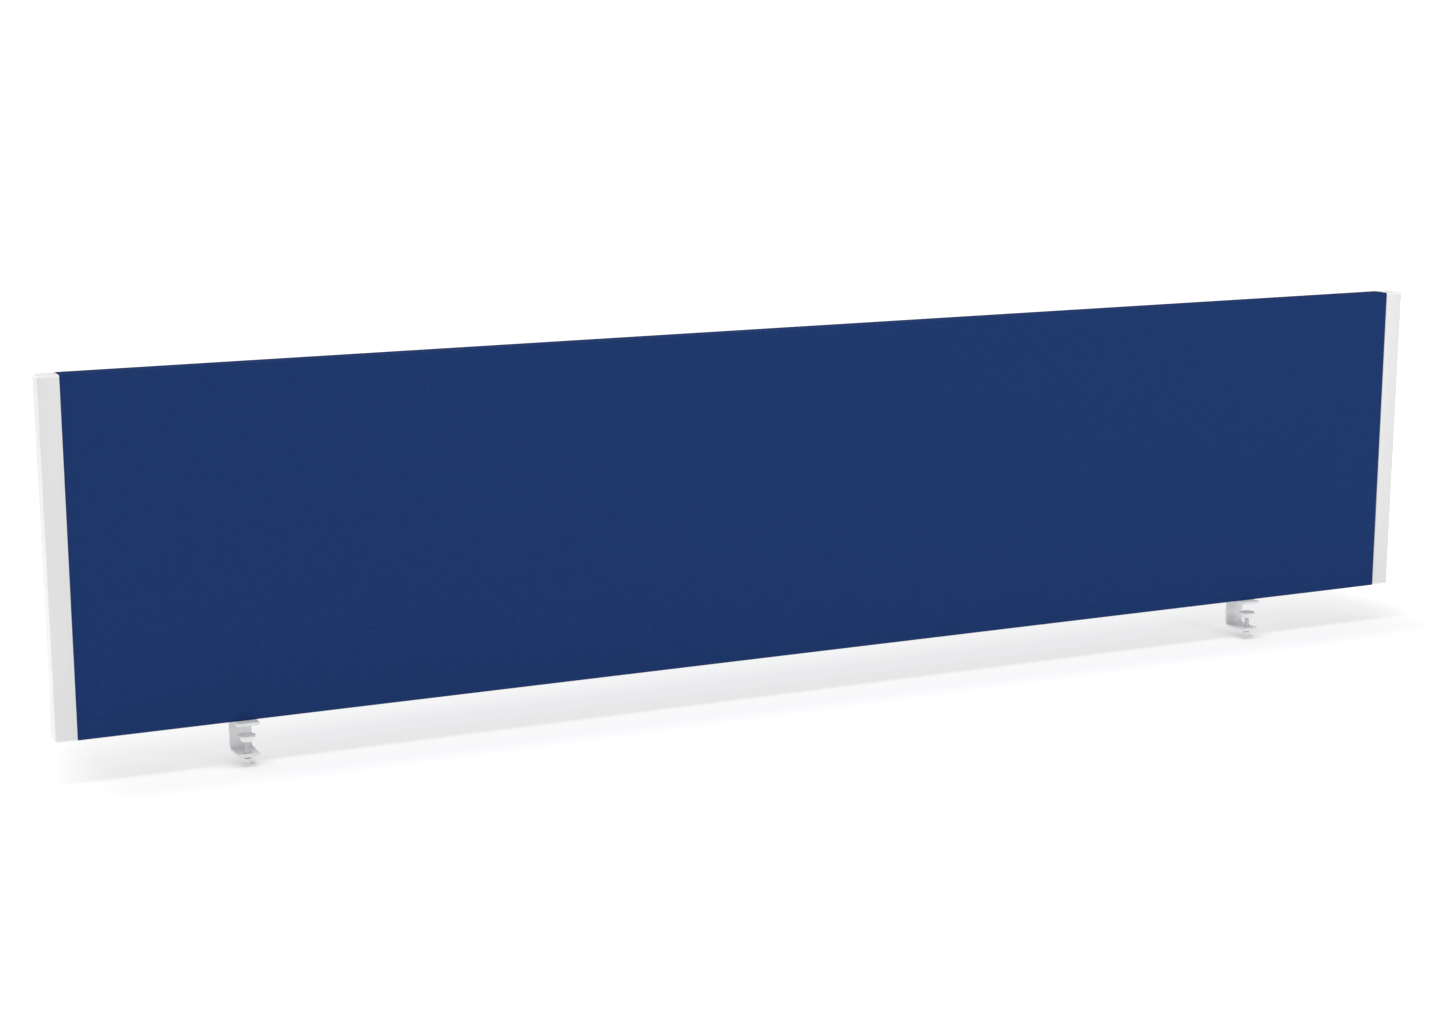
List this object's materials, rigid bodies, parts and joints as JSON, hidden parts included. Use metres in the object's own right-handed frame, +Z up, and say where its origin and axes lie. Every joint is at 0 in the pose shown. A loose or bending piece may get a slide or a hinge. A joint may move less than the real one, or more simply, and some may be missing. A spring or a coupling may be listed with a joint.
{
  "type": "desk privacy panel",
  "caption": "Long low upholstered desk screen in blue fabric with white end trims, held on a desktop's rear edge by white C-shaped screw clamps.",
  "frame": {"origin": "midway along the panel, where the plane of the desktop's top meets the plane of its rear edge", "axes": "+X along the panel, -Y towards the desk user, +Z up"},
  "size_m": [1.8, 0.04, 0.4496],
  "materials": {
    "blue_fabric": "dull crepe weave, stretched flat",
    "white_trim": "white powder coat, satin",
    "white_bracket": "white powder coat, satin",
    "white_plastic": "fine moulded texture",
    "pale_rubber": "dull, off-white",
    "plated_steel": "bright zinc plate",
    "brass_insert": "machined",
    "board": "raw fibreboard",
    "foam": "open-cell foam"
  },
  "bodies": {
    "panel": {"core_board": "board", "front_foam": "foam", "back_foam": "foam", "fabric_cover": "blue_fabric", "seam_staples": "plated_steel", "left_end_trim": "white_trim", "right_end_trim": "white_trim", "left_trim_top_cap": "white_plastic", "right_trim_top_cap": "white_plastic", "left_trim_bottom_cap": "white_plastic", "right_trim_bottom_cap": "white_plastic", "left_trim_studs": "plated_steel", "right_trim_studs": "plated_steel", "left_bracket": "white_bracket", "right_bracket": "white_bracket", "left_bracket_screws": "plated_steel", "right_bracket_screws": "plated_steel", "left_threaded_inserts": "brass_insert", "right_threaded_inserts": "brass_insert"},
    "left_clamp_pad": {"left_swivel_pad": "white_plastic", "left_pad_facing": "pale_rubber"},
    "left_clamp_screw": {"left_clamp_screw": "plated_steel", "left_screw_knob": "white_plastic"},
    "right_clamp_pad": {"right_swivel_pad": "white_plastic", "right_pad_facing": "pale_rubber"},
    "right_clamp_screw": {"right_clamp_screw": "plated_steel", "right_screw_knob": "white_plastic"}
  },
  "joints": [
    {"name": "left_clamp_travel", "type": "slide", "parent": "panel", "child": "left_clamp_pad", "axis": [0, 0, 1], "range_m": [-0.013, 0.003]},
    {"name": "left_clamp_turn", "type": "hinge", "parent": "left_clamp_pad", "child": "left_clamp_screw", "pos_m": [-0.691, -0.027, -0.03], "axis": [0, 0, 1], "range_deg": [-4680, 1080]},
    {"name": "right_clamp_travel", "type": "slide", "parent": "panel", "child": "right_clamp_pad", "axis": [0, 0, 1], "range_m": [-0.013, 0.003]},
    {"name": "right_clamp_turn", "type": "hinge", "parent": "right_clamp_pad", "child": "right_clamp_screw", "pos_m": [0.667, -0.027, -0.03], "axis": [0, 0, 1], "range_deg": [-4680, 1080]}
  ],
  "couplings": [
    {"joint": "left_clamp_turn", "follows": "left_clamp_travel", "rad_per_m": 6283.2},
    {"joint": "right_clamp_turn", "follows": "right_clamp_travel", "rad_per_m": 6283.2}
  ]
}
